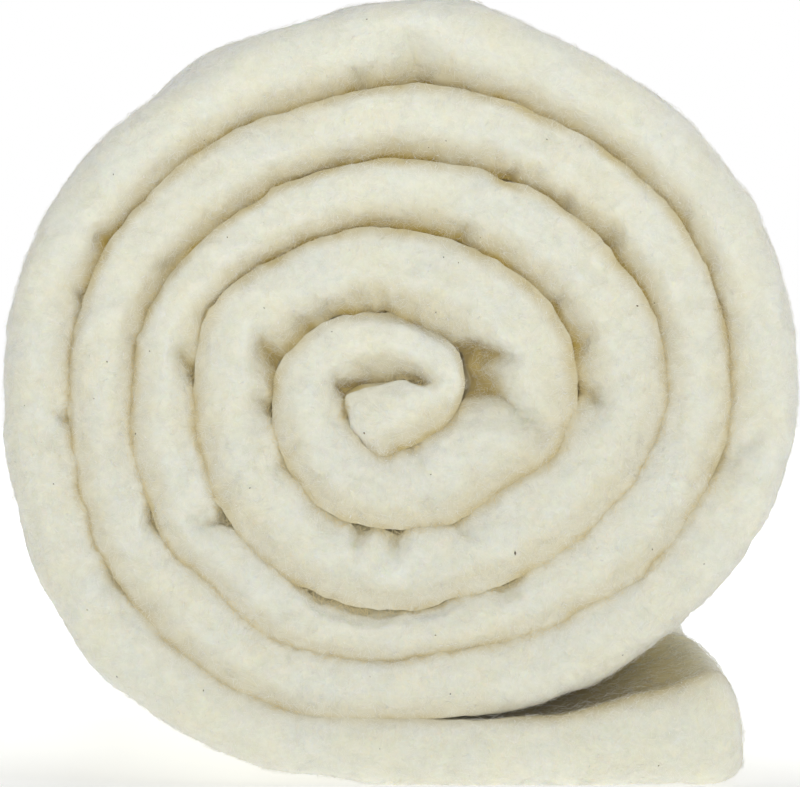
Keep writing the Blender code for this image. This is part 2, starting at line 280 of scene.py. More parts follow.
NOTCH_DEPTH, POCKET_RUN, SLIT_RUN = 0.7, 0.0026, 0.0020
# A ledge, where the outer side of a wrap's edge has slipped back: degrees turned, half width in
# mm, drop in mm, reach.
LEDGE = (350, 12.0, 3.4, 0.17)
print(f"{len(CREASES)} creases")


def creased(across, depth, turned, inner_radius, thickness):
    """Moves the rounded edge into its creases. A notch pushes the inner face outward by a bell
    curve along the seam, times (1 - across)^2. A valley moves the edge back along Y by a sharper
    bell, exp(-|distance/width|^1.4), which fades across the thickness."""
    notch = np.zeros_like(across)
    valley = np.zeros_like(across)
    local_radius = inner_radius + across * thickness
    for at, half_width, cut, sink, reach, slant in CREASES:
        width = half_width * TABLE_UNIT
        at_face = np.radians(turned - at) * inner_radius / width
        leaning = np.radians(turned - at - slant * across) * local_radius / width
        share = cut * TABLE_UNIT * NOTCH_DEPTH / thickness
        notch += share * np.exp(-at_face**2) * (1.0 - across) ** 2
        faded = 1.0 - ease(across, 0.35 * reach, reach)
        valley += sink * TABLE_UNIT * np.exp(-np.abs(leaning) ** 1.4) * faded
    at, half_width, drop, reach = LEDGE
    away = np.radians(turned - at) * (inner_radius + thickness) / (half_width * TABLE_UNIT)
    sunk = ease(across, 1.0 - reach, 1.0 - reach * 0.4)
    valley += drop * TABLE_UNIT * np.exp(-away**4) * sunk
    return across + notch, depth + valley


# %% [markdown]
# ## Where the points go
# The sheet is a grid: stations along the spiral, and a ring of points round the sheet at each
# one. The front edge fills the photograph, so its stations are only 1.45 mm apart and its
# rounding has many points. The faces between the wraps are never seen, so they have few rows,
# and only the outermost wrap and the tail have many.

# %% Stations along the sheet
STATION = 0.00145
CREASE_STATIONS = 2.0
CORE_END_ROUND = 0.0025
END_SHARES = np.sin(np.linspace(0.02, math.pi / 2, 11))


def stations_along(along, turned, radius):
    """Counts stations with a density of one per STATION, plus a bell curve in each crease, and
    places one wherever the count passes a whole number. At both ends the sheet's thickness closes
    by a superellipse: distance = rounding * (1 - (1 - share^n)^(1/n)), n being 4 at the core and
    2.5 at the tail's puffed end."""
    density = np.full(len(along), 1.0 / STATION)
    for at, half_width, _, _, _, slant in CREASES:
        width = half_width * TABLE_UNIT
        away = np.radians(turned - at - slant * 0.2) * radius / width
        density += CREASE_STATIONS / (width * math.sqrt(math.pi)) * np.exp(-away * away)
    counted = np.concatenate([[0.0], np.cumsum((density[1:] + density[:-1]) / 2 * np.diff(along))])
    from_core = CORE_END_ROUND * (1.0 - (1.0 - END_SHARES**4) ** 0.25)
    from_tail = END_ROUND * (1.0 - (1.0 - END_SHARES**2.5) ** 0.4)
    span = np.interp([along[0] + CORE_END_ROUND, along[-1] - END_ROUND], along, counted)
    steps = int(round(span[1] - span[0]))
    between = np.interp(np.linspace(span[0], span[1], steps + 1)[1:-1], counted, along)
    places = np.concatenate([from_core, between, along[-1] - from_tail[::-1]])
    shares = np.concatenate([END_SHARES, np.ones(len(between)), END_SHARES[::-1]])
    pivots = np.where(places < along[-1] / 2, 0.5, 0.80)
    return places, shares, pivots


line_radius = np.linalg.norm(line_middle, axis=1)
places, shares, pivots = stations_along(line_along, line_turned, line_radius)
inner = np.stack([np.interp(places, line_along, line_inner[:, k]) for k in (0, 1)], axis=1)
outer = np.stack([np.interp(places, line_along, line_outer[:, k]) for k in (0, 1)], axis=1)
turned = np.interp(places, line_along, line_turned)
print(f"{len(places)} stations")

# %% The ring of points round the sheet
FRONT_POINTS, COVER_ROWS, BACK_POINTS, LINING_ROWS = 27, 64, 13, 16
# Rows of the inner face just behind the front edge, in metres from it.
BEHIND_EDGE = np.array([0.0180, 0.0110, 0.0070, 0.0045, 0.0028, 0.0013])
# How far each wrap stands out of the roll's end, in mm.
WRAP_FORWARD = (-0.9, 0.2, -0.3, 0.2, -0.2, 0.0, 0.0)
# From here on the sheet has all its rows. Before it, every eighth and every fourth are enough.
COVER_FROM_DEG = 1600.0
COVER_STEP, LINING_STEP = 8, 4
CLOSED_AT_FRONT = 0.6
# Just behind the front the core's slit closes. The first row is degrees turned, the second how
# much, in mm.
SLIT_CLOSES = (
    (140, 180, 230, 250, 268, 284, 300, 330, 420, 450, 480, 505, 520),
    (1.0, 2.0, 1.9, 1.6, 1.1, 1.0, 1.0, 1.3, 1.4, 1.2, 1.1, 0.8, 0.0),
)

# Where a face of the sheet is in the open: the outer face of the last wrap, and the tail's top.
OUTER_OPENS_DEG = (1624.0, 1650.0)
INNER_OPENS_DEG = (WOUND_TO_DEG + 4.0, WOUND_TO_DEG + 24.0)
outer_open = ease(turned, *OUTER_OPENS_DEG)[:, None]
inner_open = ease(turned, *INNER_OPENS_DEG)[:, None]


def edge_profile(points):
    """Share of the thickness at each point of a rounded edge: 0.5 + 0.5 sin a, with a in equal
    steps, so the points crowd towards the edge's two feet."""
    angle = np.linspace(-math.pi / 2, math.pi / 2, points)
    return 0.5 + 0.5 * np.sin(angle)


def faces_up(across):
    """Smooth step of the sine of the direction in which this side of the edge faces: 1 on the outer
    side of a wrap above the spiral's middle, and on the inner side of one below it."""
    outward = np.sin(np.radians(turned + 90.0))[:, None]
    return ease(np.where(across > 0.5, outward, -outward), -0.5, 0.5)


def edge_depth(across):
    """How far the edge lies behind its tip, where u, from -1 to 1, is the distance from the middle
    of the thickness. In the open it is a rounded corner, EDGE_ROUND * (1 - (1 - |u|^n)^(1/n)), n
    being 2.3, or 5 on the tail's thick top. Against the next wrap, the side that faces down sags
    away by valley * |u|^1.7 and the side that faces up stays full,
    UP_CREST * |u|^3 + 0.7 mm * |u|^8, so each seam is a small step."""
    u = 2.0 * across - 1.0
    far = np.minimum(np.abs(u), 1.0)
    power = np.where(u > 0.0, 2.3, 5.0)
    rounded = EDGE_ROUND * (1.0 - (1.0 - far**power) ** (1.0 / power))
    height = ease(np.sin(np.radians(turned + 90.0))[:, None], -0.4, 0.6)
    sagging = (LOW_VALLEY + (HIGH_VALLEY - LOW_VALLEY) * height) * far**1.7
    full = UP_CREST * far**3 + 0.0007 * far**8
    valley = sagging + (full - sagging) * faces_up(across)
    is_open = np.where(u > 0.0, outer_open, inner_open)
    return valley + (rounded - valley) * is_open


def ring_grid():
    """Share of the thickness and place along Y of every point, as two arrays of stations by ring.
    Behind the front edge the inner face keeps its notches, which fade by exp(-(distance/run)^2)."""
    radius = np.linalg.norm((inner + outer) / 2, axis=1)
    thickness = np.linalg.norm(outer - inner, axis=1)
    inner_radius = np.maximum(radius - thickness / 2, 0.004)
    ones = np.ones((len(places), 1))
    across = edge_profile(FRONT_POINTS) * ones
    front_across, front_depth = creased(
        across, edge_depth(across), turned[:, None], inner_radius[:, None], thickness[:, None]
    )
    back_across = (edge_profile(BACK_POINTS) * ones)[:, ::-1]
    flat = HALF - EDGE_ROUND
    cover = np.linspace(-1.0, 1.0, COVER_ROWS + 2)[1:-1] * flat
    lining = np.linspace(-0.85, 1.0, LINING_ROWS + 1)[:-1][::-1] * flat
    kept = np.concatenate([lining * 0, np.exp(-((BEHIND_EDGE / POCKET_RUN) ** 2))])
    still_open = (1.0 - CLOSED_AT_FRONT) * np.exp(-((BEHIND_EDGE / SLIT_RUN) ** 2))
    closed = np.concatenate([lining * 0 + 1.0, 1.0 - still_open])
    closes = np.interp(turned, *SLIT_CLOSES) * TABLE_UNIT / thickness
    front_across -= CLOSED_AT_FRONT * closes[:, None] * (1.0 - across) ** 6
    wrap = np.clip(turned / TURN_DEG, 0, len(WRAP_FORWARD) - 1)
    forward = through_table(WRAP_FORWARD, wrap) * TABLE_UNIT
    y_front = -HALF - forward[:, None] + front_depth
    y_back = HALF + forward[:, None] - edge_depth(back_across)
    y_behind = y_front[:, :1] + BEHIND_EDGE
    notched = front_across[:, :1] + CLOSED_AT_FRONT * closes[:, None]
    inner_share = notched * kept - closes[:, None] * closed
    share = np.hstack([front_across, ones + 0 * cover, back_across, inner_share])
    y = np.hstack([y_front, cover * ones, y_back, lining * ones, y_behind])
    share = pivots[:, None] + (share - pivots[:, None]) * shares[:, None]
    y -= np.sign(y) * (1.0 - shares[:, None]) * END_ROUND * 0.8 * np.abs(y) / HALF
    return share, y


ring_share, ring_y = ring_grid()
AROUND = ring_share.shape[1]
points = np.empty((len(places), AROUND, 3))
points[..., 0] = inner[:, None, 0] + ring_share * (outer - inner)[:, None, 0]
points[..., 1] = ring_y
points[..., 2] = inner[:, None, 1] + ring_share * (outer - inner)[:, None, 1]
print(f"rings of {AROUND} points")

# %% [markdown]
# ## Lumps
# Nothing about this roll is even. Cotton batting is thicker here and thinner there, and hands
# press dents into it. Noise gives that unevenness: random numbers on a lattice with a smooth
# blend between them. The size of a lattice cell is the size of a lump. Big lumps are made by
# warping the space that the roll is in, so that two wraps which touch move together and still
# touch. Small lumps only move the surfaces that show, along their normals.

# %% Smooth noise


def soft_noise(where, cell, seed):
    """Value noise: random numbers from -1 to 1 on a cubic lattice, read between the eight nearest
    lattice points with a smooth step on each axis."""
    lattice = np.random.default_rng(seed).uniform(-1.0, 1.0, (32, 32, 32))
    place = where / cell + 512.0
    low = np.floor(place).astype(int)
    t = place - low
    t = t * t * (3.0 - 2.0 * t)
    (x0, y0, z0), (x1, y1, z1) = np.moveaxis(low % 32, -1, 0), np.moveaxis((low + 1) % 32, -1, 0)
    tx, ty, tz = np.moveaxis(t, -1, 0)
    near = (lattice[x0, y0, z0] * (1 - tx) + lattice[x1, y0, z0] * tx) * (1 - ty)
    near += (lattice[x0, y1, z0] * (1 - tx) + lattice[x1, y1, z0] * tx) * ty
    far = (lattice[x0, y0, z1] * (1 - tx) + lattice[x1, y0, z1] * tx) * (1 - ty)
    far += (lattice[x0, y1, z1] * (1 - tx) + lattice[x1, y1, z1] * tx) * ty
    return near * (1 - tz) + far * tz


def noise_vector(where, cell, seed):
    """Three independent noises, one for each axis."""
    return np.stack([soft_noise(where, cell, seed + k) for k in range(3)], axis=-1)


# %% Warp the roll
SWELL, SWELL_PITCH, SWELL_STARTS = 0.0016, 0.21, 0.16
MEAN_RADIUS = 0.0882


def warp_roll(p):
    """Moves every point by noise of its own place: lumps of 6 mm, 2.6 mm and 1.3 mm at the seams,
    which are weaker on the roll's outside, and dents of 40 mm that grow behind the front edge. The
    radius also swells in two slow waves along the roll's length. Towards the floor all of it fades
    out."""
    from_front = p[..., 1] + HALF
    off_floor = ease(p[..., 2], -CENTRE_HEIGHT, -CENTRE_HEIGHT * 0.6)
    grown = ease(from_front, 0.0, SWELL_STARTS)
    angle = np.arctan2(p[..., 2], p[..., 0])
    wave = np.sin(2 * math.pi * from_front / SWELL_PITCH + 2.0 * angle)
    wave += 0.6 * np.sin(2 * math.pi * from_front / (1.7 * SWELL_PITCH) - 3.0 * angle + 1.0)
    high = ease(p[..., 2], -CENTRE_HEIGHT, -CENTRE_HEIGHT * 0.35)
    scale = 1.0 + SWELL / MEAN_RADIUS * wave * grown * high
    moved = p * np.stack([scale, np.ones_like(scale), scale], axis=-1)
    inside = 1.0 - 0.6 * ease(np.hypot(p[..., 0], p[..., 2]), 0.078, 0.085)
    at_front = inside * (1.0 - ease(from_front, 0.005, 0.012))
    shift = np.zeros_like(p)
    for cell, amount, seed in (
        (0.0062, 0.00050 * inside, 11),
        (0.0026, 0.00040 * at_front, 14),
        (0.0013, 0.00020 * at_front, 17),
        (0.040, 0.0005 + 0.0012 * grown, 21),
    ):
        shift += noise_vector(p, cell, seed) * amount[..., None]
    return moved + shift * off_floor[..., None] * np.array([1.0, 0.6, 1.0])


points = warp_roll(points)

# %% Small lumps on the surfaces that show


def grid_normals(p):
    """Cross product of the differences along the stations and round the ring."""
    along = np.gradient(p, axis=0)
    around = np.roll(p, -1, axis=1) - np.roll(p, 1, axis=1)
    return unit(np.cross(around, along))


column = np.arange(AROUND)
on_front = column < FRONT_POINTS
on_cover = (column >= FRONT_POINTS) & (column < FRONT_POINTS + COVER_ROWS)
on_back = (column >= FRONT_POINTS + COVER_ROWS) & (column < FRONT_POINTS + COVER_ROWS + BACK_POINTS)
on_lining = column >= FRONT_POINTS + COVER_ROWS + BACK_POINTS
on_edge = on_front | on_back

edge_across = np.zeros(AROUND)
edge_across[on_front] = edge_profile(FRONT_POINTS)
edge_across[on_back] = edge_profile(BACK_POINTS)[::-1]
tip = np.where(on_edge, 1.0 - np.abs(2.0 * edge_across - 1.0) ** 5, 0.0)
open_outer = np.where(on_edge, edge_across, on_cover.astype(float)) * outer_open
open_inner = np.where(on_edge, 1.0 - edge_across, on_lining.astype(float)) * inner_open
in_open = np.maximum(open_outer, open_inner)
exposed = np.clip(np.maximum(tip, in_open), 0.0, 1.0)


# Lumps on the front and back edges, and on the faces, whose rows are 9 mm apart: size, height and
# seed of each noise.
EDGE_LUMPS = ((0.0090, 0.00052, 31), (0.0042, 0.00028, 32), (0.0018, 0.00020, 33))
FACE_LUMPS = ((0.038, 0.0018, 34), (0.021, 0.0013, 35), (0.013, 0.0009, 36))


def relief(p, lumps):
    """Sum of noises in metres, each times its height."""
    return sum(soft_noise(p, cell, seed) * height for cell, height, seed in lumps)


normals = grid_normals(points)
lumpy = np.where(on_edge, relief(points, EDGE_LUMPS), relief(points, FACE_LUMPS))
points += normals * (lumpy * exposed)[..., None]
points[..., 0] += SPIRAL_X
points[..., 2] = np.maximum(points[..., 2] + CENTRE_HEIGHT, 0.0)
normals = grid_normals(points)
print("highest point", round(float(points[..., 2].max()), 4), "m")

# %% [markdown]
# ## The mesh of the sheet
# A grid turns into a mesh by joining neighbouring points into four-sided faces. The wraps inside
# the roll skip most rows of their hidden faces. Where the fine rows begin, one many-sided face
# takes up each step, hidden under the outermost wrap.

# %% Join the grid into one closed mesh


def mesh_piece(name, vertices, faces, material):
    """Makes a mesh object at the origin from whole arrays, with smooth shading."""
    mesh = bpy.data.meshes.new(name)
    mesh.from_pydata(vertices.tolist(), [], faces)
    mesh.materials.append(material)
    mesh.shade_smooth()
    piece = bpy.data.objects.new(name, mesh)
    bpy.context.scene.collection.objects.link(piece)
    return piece


def sheet_faces():
    """Quads between neighbouring kept points, the stepped row, and a face that closes each end."""
    fine_from = int(np.searchsorted(turned, COVER_FROM_DEG))
    coarse = on_edge | (on_cover & ((column - FRONT_POINTS) % COVER_STEP == 3))
    coarse |= on_lining & ((AROUND - column) % LINING_STEP == 1)
    coarse |= column >= AROUND - len(BEHIND_EDGE)
    kept = np.ones((len(places), AROUND), bool)
    kept[:fine_from] = coarse
    number = np.cumsum(kept.ravel()).reshape(kept.shape) - 1

    def strips(first, last, columns):
        """The quads between these stations, in all of these columns."""
        here, there = number[first:last, columns], number[first + 1 : last + 1, columns]
        corners = [here, np.roll(here, -1, 1), np.roll(there, -1, 1), there]
        return np.stack(corners, axis=2).reshape(-1, 4).tolist()

    coarse_columns = np.flatnonzero(coarse)
    faces = strips(0, fine_from - 1, coarse_columns)
    for a, b in zip(coarse_columns, np.roll(coarse_columns, -1)):
        fine = np.arange(a, b + 1 if b > a else b + 1 + AROUND) % AROUND
        ends = [number[fine_from - 1, a], number[fine_from - 1, b]]
        faces.append([int(i) for i in ends + number[fine_from, fine[::-1]].tolist()])
    faces += strips(fine_from, len(places) - 1, column)
    faces.append(number[0, coarse_columns][::-1].tolist())
    faces.append(number[-1].tolist())
    return kept, faces


def signed_volume(vertices, faces):
    """Sum of a . (b x c) / 6 over every face's triangles, which is positive if faces point out."""
    total = 0.0
    for size in {len(face) for face in faces}:
        group = vertices[np.array([face for face in faces if len(face) == size])]
        for k in range(1, size - 1):
            total += np.einsum("ij,ij->", group[:, 0], np.cross(group[:, k], group[:, k + 1])) / 6
    return total


kept, faces = sheet_faces()
vertices = points[kept]
volume = signed_volume(vertices, faces)
if volume < 0:
    faces = [face[::-1] for face in faces]
    normals = -normals
print(f"{len(vertices)} points, {len(faces)} faces, {abs(volume) * 1000:.2f} litres")

# %% [markdown]
# ## Needled natural cotton
# Unbleached cotton is cream, not white, and quite matt, because light enters between the loose
# fibres, scatters and comes out again nearby. Subsurface scattering with a radius of a few
# millimetres gives that soft look, and a little sheen stands for the fibres' ends. In the
# seams the cream turns tan: painted shade, for light that has bounced off cream cotton many
# times. The fibres lie in streaks and tufts, which several noises imitate, and the finest of them
# is read at places that another noise bends, so that its streaks wander.

# %% Colours and a helper for nodes


def linear(hex_colour):
    """sRGB hex to linear: c / 12.92 below 0.04045, else ((c + 0.055) / 1.055)^2.4."""
    parts = [int(hex_colour[i : i + 2], 16) / 255 for i in (1, 3, 5)]
    parts = [c / 12.92 if c <= 0.04045 else ((c + 0.055) / 1.055) ** 2.4 for c in parts]
    return (*parts, 1.0)


def add_node(tree, kind, settings=None, **links):
    """Adds a node, sets its properties, and sets or links its inputs, by name or, as i0, i1 and so
    on, by number."""
    node = tree.nodes.new(kind)
    for key, value in (settings or {}).items():
        setattr(node, key, value)
    for key, value in links.items():
        by_number = key[0] == "i" and key[1:].isdigit()
        socket = node.inputs[int(key[1:]) if by_number else key.replace("_", " ")]
        if isinstance(value, bpy.types.NodeSocket):
            tree.links.new(value, socket)
        else:
            socket.default_value = value
    return node


def new_material(name):
    """An empty material with a Principled shader on its output."""
    material = bpy.data.materials.new(name)
    material.use_nodes = True
    tree = material.node_tree
    tree.nodes.clear()
    shader = tree.nodes.new("ShaderNodeBsdfPrincipled")
    out = tree.nodes.new("ShaderNodeOutputMaterial")
    tree.links.new(shader.outputs["BSDF"], out.inputs["Surface"])
    return material, tree, shader


# %% The batting's own material
# The two creams are the cotton's own tones; the tan is painted shade for the seams.
COOL_CREAM, WARM_CREAM, SEAM_SHADE_TAN = "#EFEFE1", "#F1EFDC", "#C2AB5E"


def needled_natural_cotton():
    """Cotton needled into a sheet: cream with warmer tufts, painted tan shade in the seams, matt
    and soft.
    """
    material, tree, shader = new_material("needled_natural_cotton")
    place = tree.nodes.new("ShaderNodeTexCoord").outputs["Object"]
    # The mesh carries three numbers for each point, and a cell below works them out.
    seam, face, pressed = (
        add_node(tree, "ShaderNodeAttribute", {"attribute_name": name}).outputs["Fac"]
        for name in ("painted_seam_shade", "open_face", "pressed")
    )
    # Each noise has the size of its lumps in metres, its detail and its roughness. Tufts of fibres
    # are 3 to 13 mm across. A cotton fibre is 0.02 mm thick, too fine to show, so the streaks are
    # 0.3 to 1.1 mm across. They wander, because a slower noise bends the place where they are read.
    noises = {}
    for name, size, detail, roughness in (
        ("tufts", 0.013, 2.0, 0.5),
        ("specks", 0.0016, 2.0, 0.7),
        ("bend", 0.006, 0.0, 0.5),
        ("streaks", 0.0011, 2.0, 0.75),
        ("grain", 0.0040, 1.0, 0.5),
        ("clumps", 0.009, 1.0, 0.6),
    ):
        noises[name] = add_node(
            tree,
            "ShaderNodeTexNoise",
            Vector=place,
            Scale=1 / size,
            Detail=detail,
            Roughness=roughness,
        )
    # Some tufts are warmer than others.
    tufts = noises["tufts"].outputs["Fac"]
    tint = add_node(tree, "ShaderNodeMapRange", i0=tufts, i1=0.35, i2=0.65).outputs["Result"]
    mix, cool, warm = {"data_type": "RGBA"}, linear(COOL_CREAM), linear(WARM_CREAM)
    cream = add_node(tree, "ShaderNodeMix", mix, i0=tint, i6=cool, i7=warm).outputs["Result"]
    # Where fibres lie loosely, the surface is a little darker, in specks of 0.4 to 1.6 mm.
    specks = noises["specks"].outputs["Fac"]
    shade = add_node(tree, "ShaderNodeMapRange", i0=specks, i1=0.30, i2=0.62, i3=0.94, i4=1.0)
    speckled = add_node(
        tree, "ShaderNodeVectorMath", {"operation": "SCALE"}, i0=cream, i3=shade.outputs["Result"]
    ).outputs["Vector"]
    # Painted seam shade: the cream turns tan where the seam attribute is high.
    seam_shaded = add_node(tree, "ShaderNodeMix", mix, i0=seam, i6=speckled, i7=linear(SEAM_SHADE_TAN))
    # The streaks' place is bent by up to 6 mm: noise * 12 mm + place.
    add, bend = {"operation": "MULTIPLY_ADD"}, noises["bend"].outputs["Color"]
    bent = add_node(tree, "ShaderNodeVectorMath", add, i0=bend, i1=(0.012,) * 3, i2=place)
    tree.links.new(bent.outputs["Vector"], noises["streaks"].inputs["Vector"])
    # The bump's height is streaks + 4 * grain. The faces have wide rows, so their clumps of 9 mm
    # are in the bump too: + 10 * clumps.
    grain, streaks = noises["grain"].outputs["Fac"], noises["streaks"].outputs["Fac"]
    height = add_node(tree, "ShaderNodeMath", add, i0=grain, i1=4.0, i2=streaks)
    clumps = noises["clumps"].outputs["Fac"]
    on_face = add_node(tree, "ShaderNodeMath", {"operation": "MULTIPLY"}, i0=clumps, i1=face)
    height = add_node(
        tree,
        "ShaderNodeMath",
        add,
        i0=on_face.outputs["Value"],
        i1=10.0,
        i2=height.outputs["Value"],
    ).outputs["Value"]
    bump = add_node(tree, "ShaderNodeBump", Height=height, Distance=0.0004, Strength=0.6)
    tree.links.new(seam_shaded.outputs["Result"], shader.inputs["Base Color"])
    tree.links.new(bump.outputs["Normal"], shader.inputs["Normal"])
    shader.inputs["Roughness"].default_value = 0.95
    shader.inputs["IOR"].default_value = 1.45
    shader.inputs["Specular IOR Level"].default_value = 0.15
    # Light travels inside loose cotton, and hardly at all where the cotton is pressed.
    loose = add_node(tree, "ShaderNodeMapRange", i0=pressed, i3=1.0, i4=0.0)
    tree.links.new(loose.outputs["Result"], shader.inputs["Subsurface Weight"])
    shader.inputs["Subsurface Radius"].default_value = (0.66, 0.76, 1.0)
    shader.inputs["Subsurface Scale"].default_value = 0.0048
    shader.inputs["Sheen Weight"].default_value = 0.2
    shader.inputs["Sheen Roughness"].default_value = 0.6
    return material


cotton = needled_natural_cotton()
sheet = mesh_piece("batting_sheet", vertices, faces, cotton)

# %% Tell the material where the seams' shade is painted
# painted_seam_shade is painted shade. It is near 1 at the foot of the side that faces down onto
# the next wrap, less on the side that faces up, in creases and at the roll's bottom. It also
# paints the roll's shadow on the tail's top. The flap in the core catches the light, so it gets
# less painted shade and its top stays pale.
CORE_FLAP_TO_DEG = 262.0
# Right of these, in metres, the painted shadow of the roll on the tail's top fades out.
ROLL_SHADOW_TO_X = (0.060, 0.080)
LOW_SEAMS, HIGH_SEAMS = 0.05, 0.13
# A crease gets painted shade from this depth on, and fully after the second depth more.
CREASE_STARTS, CREASE_FILLS = 0.0024, 0.0052
hidden = 1.0 - in_open
wound = 1.0 - np.maximum(outer_open, inner_open)
from_middle = np.abs(2.0 * edge_across - 1.0)

# Painted shade on each side of a seam: under on the side that faces down, over on the side that
# faces up.
under = 0.56 * ease(from_middle, 0.0, 0.90) + 0.42 * ease(from_middle, 0.70, 1.0)
over = 0.60 * ease(from_middle, 0.62, 0.98)
foot = under + (over - under) * faces_up(edge_across)
on_flap = (turned < CORE_FLAP_TO_DEG)[:, None] * (edge_across < 0.5)
painted_seam_shade = np.where(on_edge, foot * (1.0 - 0.75 * on_flap), 1.0) * hidden
# The painted seam shade is weaker low on the roll, below HIGH_SEAMS.
painted_seam_shade *= 0.55 + 0.45 * ease(points[..., 2], LOW_SEAMS, HIGH_SEAMS)
uneven = 0.45 * soft_noise(points, 0.0055, 41) + 0.25 * soft_noise(points, 0.0022, 42)
painted_seam_shade *= 0.88 + uneven * ease(from_middle, 0.50, 0.90)

# Painted shade in creases grows with how far the edge sinks back; the same mask marks them as
# pressed.
sunk = ring_y[:, :FRONT_POINTS] - ring_y[:, FRONT_POINTS // 2, None] - CREASE_STARTS
in_crease = 0.86 * np.clip(sunk / CREASE_FILLS, 0.0, 1.0) * wound
painted_seam_shade[:, :FRONT_POINTS] = np.maximum(painted_seam_shade[:, :FRONT_POINTS], in_crease)
# The tail's front face, which the light reaches, gets little painted shade.
painted_seam_shade *= 1.0 - 0.8 * inner_open * (edge_across > 0.1)
# Painted shadow: the roll's shade on the tail's top, strongest near the roll and fading out to the
# right.
tail_side = on_lining + (1.0 - edge_across) ** 12 * on_front
painted_roll_shadow = inner_open * (1.0 - ease(points[..., 0], *ROLL_SHADOW_TO_X)) * tail_side
painted_seam_shade = np.maximum(painted_seam_shade, 0.85 * painted_roll_shadow)

# In the seams and creases the cotton is pressed, and light doesn't travel far inside it.
pressed = np.where(on_edge, ease(from_middle, 0.55, 0.86), 1.0) * hidden
pressed[:, :FRONT_POINTS] = np.maximum(pressed[:, :FRONT_POINTS], in_crease)
open_face = np.where(on_edge, 0.0, 1.0) + np.zeros_like(painted_seam_shade)
for name, values in (("painted_seam_shade", painted_seam_shade), ("pressed", pressed), ("open_face", open_face)):
    layer = sheet.data.attributes.new(name, "FLOAT", "POINT")
    layer.data.foreach_set("value", values[kept].astype(np.float32))
print(f"{sheet.name}: {sum(len(f) - 2 for f in faces)} triangles")

# %% [markdown]
# ## Loose fibres
# Single fibres stand off the surface everywhere, and they make the difference between cotton
# and clay. Each is a closed spindle with three sides, thick in the middle and pointed at its ends,
# that leaves the surface, bows over it and comes back. Thousands of them are worked out at once
# and joined into a few meshes.

# %% Make fibres on the sheet
FIBRE_CORNERS = np.array(
    [(0, 2, 1), (0, 3, 2), (0, 1, 3)]
    + [(1, 2, 5), (1, 5, 4), (2, 3, 6), (2, 6, 5), (3, 1, 4), (3, 4, 6)]
    + [(7, 4, 5), (7, 5, 6), (7, 6, 4)]
)
# A fibre's ends sink this far into the cotton.
ROOT_DEPTH = 0.00012


def spindles(start, first, second, end, radius):
    """Closed three-sided spindles through four points each: a point at each end, and a triangle of
    this radius, square to the fibre, at the two points between."""
    axis = unit(end - start)
    side = unit(np.cross(axis, np.array([0.31, 0.52, 0.79])))
    up = np.cross(axis, side)
    turn = np.radians([0.0, 120.0, 240.0])
    ring = side[:, None] * np.cos(turn)[:, None] + up[:, None] * np.sin(turn)[:, None]
    ring = ring * radius[:, None, None]
    rings = [first[:, None] + ring, second[:, None] + ring]
    vertices = np.concatenate([start[:, None], *rings, end[:, None]], axis=1)
    corners = FIBRE_CORNERS[None] + (np.arange(len(start)) * 8)[:, None, None]
    return vertices.reshape(-1, 3), corners.reshape(-1, 3)


def scattered_places(weight, count, random):
    """Random cells of the grid, chosen by weight, with a random point in each: it and its normal
    are blended between the cell's four corners."""
    cell = random.choice(weight.size, size=count, p=(weight / weight.sum()).ravel())
    row, col = np.unravel_index(cell, weight.shape)
    u, v = random.uniform(0, 1, (2, count, 1))
    nextcol = (col + 1) % AROUND

    def blend(grid):
        """Bilinear: a weighted mean along one side, then along the other."""
        low = grid[row, col] * (1 - v) + grid[row, nextcol] * v
        high = grid[row + 1, col] * (1 - v) + grid[row + 1, nextcol] * v
        return low * (1 - u) + high * u

    return blend(points), unit(blend(normals)), row, col


def cell_areas():
    """Area of each grid cell: half the length of the cross product of its diagonals."""
    across = np.roll(points, -1, axis=1)
    one, two = across[1:] - points[:-1], points[1:] - across[:-1]
    return np.linalg.norm(np.cross(one, two), axis=-1) / 2


def fuzz(weight, count, length, lift, radius, seed):
    """Fibres that leave the surface, bow over it by lift, and come back to it a length away."""
    random = np.random.default_rng(seed)
    at, normal, row, col = scattered_places(weight, count, random)
    along = unit(np.cross(normal, random.normal(size=(count, 3))))
    side = np.cross(normal, along)
    reach = length * random.uniform(0.5, 1.5, (count, 1))
    high = lift * random.uniform(0.2, 1.6, (count, 2, 1))
    bow = reach * random.uniform(-0.22, 0.22, (count, 2, 1)).transpose(1, 0, 2)
    start = at - along * reach / 2 - normal * ROOT_DEPTH
    end = at + along * reach / 2 - normal * ROOT_DEPTH
    first = at - along * reach / 6 + normal * high[:, 0] + side * bow[0]
    second = at + along * reach / 6 + normal * high[:, 1] + side * bow[1]
    return spindles(start, first, second, end, radius * random.uniform(0.7, 1.3, count))


CORE_FLAP_FROM_DEG = 145.0
CORE_LIP_FROM_DEG, CORE_LIP_TO_DEG = 286.0, 472.0
LONGEST_BRIDGE = 0.0045


